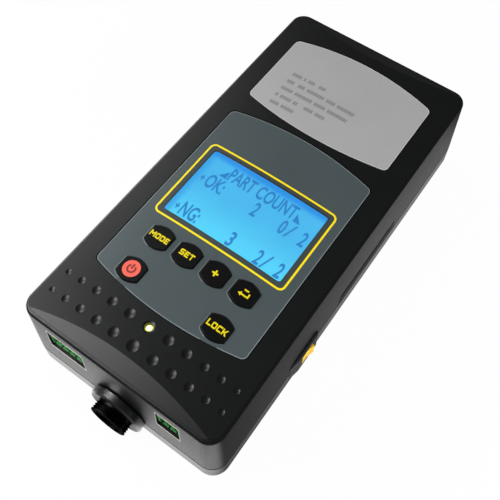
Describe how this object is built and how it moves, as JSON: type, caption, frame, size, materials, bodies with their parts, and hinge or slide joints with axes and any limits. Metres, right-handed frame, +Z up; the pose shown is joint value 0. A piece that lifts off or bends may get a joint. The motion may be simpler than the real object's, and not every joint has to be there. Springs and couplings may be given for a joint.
{
  "type": "fastening counter",
  "caption": "Low black instrument case with a crowned top, sunk keypad and display panel, grey plate, round front socket, terminal rows and a side rocker.",
  "frame": {"origin": "middle of the bounding box in plan, at the underside of the feet", "axes": "+X to the right wall with the rocker, +Y to the rear wall with the mains inlet, +Z up"},
  "size_m": [0.0958, 0.2032, 0.0487],
  "materials": {
    "case_black": "fine spark-eroded texture",
    "plate_grey": "satin, printed grey",
    "keypad_sheet": "satin sheet printed on its back",
    "clear_pane": "clear",
    "display_cyan": "lit from behind",
    "light_guide": "milky",
    "tin_plate": "tinned",
    "board_green": "solder resist over glass fibre",
    "key_black": "moulded, satin",
    "switch_black": "moulded",
    "screw_steel": "zinc plated",
    "lamp_lens": "milky lens",
    "socket_black": "black chromed, satin",
    "socket_insulator": "moulded",
    "contact_gold": "gold flashed",
    "terminal_green": "moulded",
    "rocker_yellow": "moulded, glossy",
    "inlet_black": "moulded",
    "foot_rubber": "matt",
    "core_grey": "ferrite, ground",
    "winding_tape": "polyester tape",
    "sleeve_blue": "shrunk sleeve",
    "sink_aluminium": "extruded",
    "fuse_glass": "clear tube",
    "copper_wire": "enamelled copper",
    "ribbon_grey": "flat cable"
  },
  "bodies": {
    "case": {"top_cover": "case_black", "bottom_cover": "case_black", "foot_front_left": "foot_rubber", "foot_front_right": "foot_rubber", "foot_rear_left": "foot_rubber", "foot_rear_right": "foot_rubber", "case_screws": "screw_steel", "rating_plate": "plate_grey", "keypad_overlay": "keypad_sheet", "display_window": "clear_pane", "lcd_glass": "display_cyan", "lcd_frame": "tin_plate", "lcd_backlight": "light_guide", "display_board": "board_green", "display_board_screws": "screw_steel", "tact_mode": "switch_black", "tact_set": "switch_black", "tact_plus": "switch_black", "tact_enter": "switch_black", "tact_power": "switch_black", "tact_lock": "switch_black", "status_led": "lamp_lens", "led_spacer": "switch_black", "socket_shell": "socket_black", "socket_collar": "case_black", "socket_insert": "socket_insulator", "socket_contacts": "contact_gold", "header_five": "terminal_green", "header_five_pins": "contact_gold", "header_three": "terminal_green", "header_three_pins": "contact_gold", "rocker_frame": "switch_black", "rocker_terminals": "contact_gold", "power_inlet": "inlet_black", "inlet_blades": "tin_plate", "main_board": "board_green", "main_board_screws": "screw_steel", "transformer_core": "core_grey", "transformer_winding": "winding_tape", "bulk_capacitor": "sleeve_blue", "output_capacitor": "sleeve_blue", "heat_sink": "sink_aluminium", "power_transistor": "switch_black", "fuse": "fuse_glass", "fuse_clips": "tin_plate", "choke": "copper_wire", "display_ribbon": "ribbon_grey"},
    "mode_key": {"key_mode": "key_black", "plunger_mode": "switch_black"},
    "set_key": {"key_set": "key_black", "plunger_set": "switch_black"},
    "plus_key": {"key_plus": "key_black", "plunger_plus": "switch_black"},
    "enter_key": {"key_enter": "key_black", "plunger_enter": "switch_black"},
    "power_key": {"key_power": "key_black", "plunger_power": "switch_black"},
    "lock_key": {"key_lock": "key_black", "plunger_lock": "switch_black"},
    "rocker": {"rocker": "rocker_yellow"}
  },
  "joints": [
    {"name": "mode_press", "type": "slide", "parent": "case", "child": "mode_key", "axis": [0, 0, -1], "range_m": [0, 0.0005], "stiffness_N_per_m": 1500, "springref_m": -0.0003},
    {"name": "set_press", "type": "slide", "parent": "case", "child": "set_key", "axis": [0, 0, -1], "range_m": [0, 0.0005], "stiffness_N_per_m": 1500, "springref_m": -0.0003},
    {"name": "plus_press", "type": "slide", "parent": "case", "child": "plus_key", "axis": [0, 0, -1], "range_m": [0, 0.0005], "stiffness_N_per_m": 1500, "springref_m": -0.0003},
    {"name": "enter_press", "type": "slide", "parent": "case", "child": "enter_key", "axis": [0, 0, -1], "range_m": [0, 0.0005], "stiffness_N_per_m": 1500, "springref_m": -0.0003},
    {"name": "power_press", "type": "slide", "parent": "case", "child": "power_key", "axis": [0, 0, -1], "range_m": [0, 0.0005], "stiffness_N_per_m": 1500, "springref_m": -0.0003},
    {"name": "lock_press", "type": "slide", "parent": "case", "child": "lock_key", "axis": [0, 0, -1], "range_m": [0, 0.0005], "stiffness_N_per_m": 1500, "springref_m": -0.0003},
    {"name": "rocker_tilt", "type": "hinge", "parent": "case", "child": "rocker", "pos_m": [0.04392, -0.03265, 0.012], "axis": [0, 0, 1], "range_deg": [0, 16]}
  ]
}
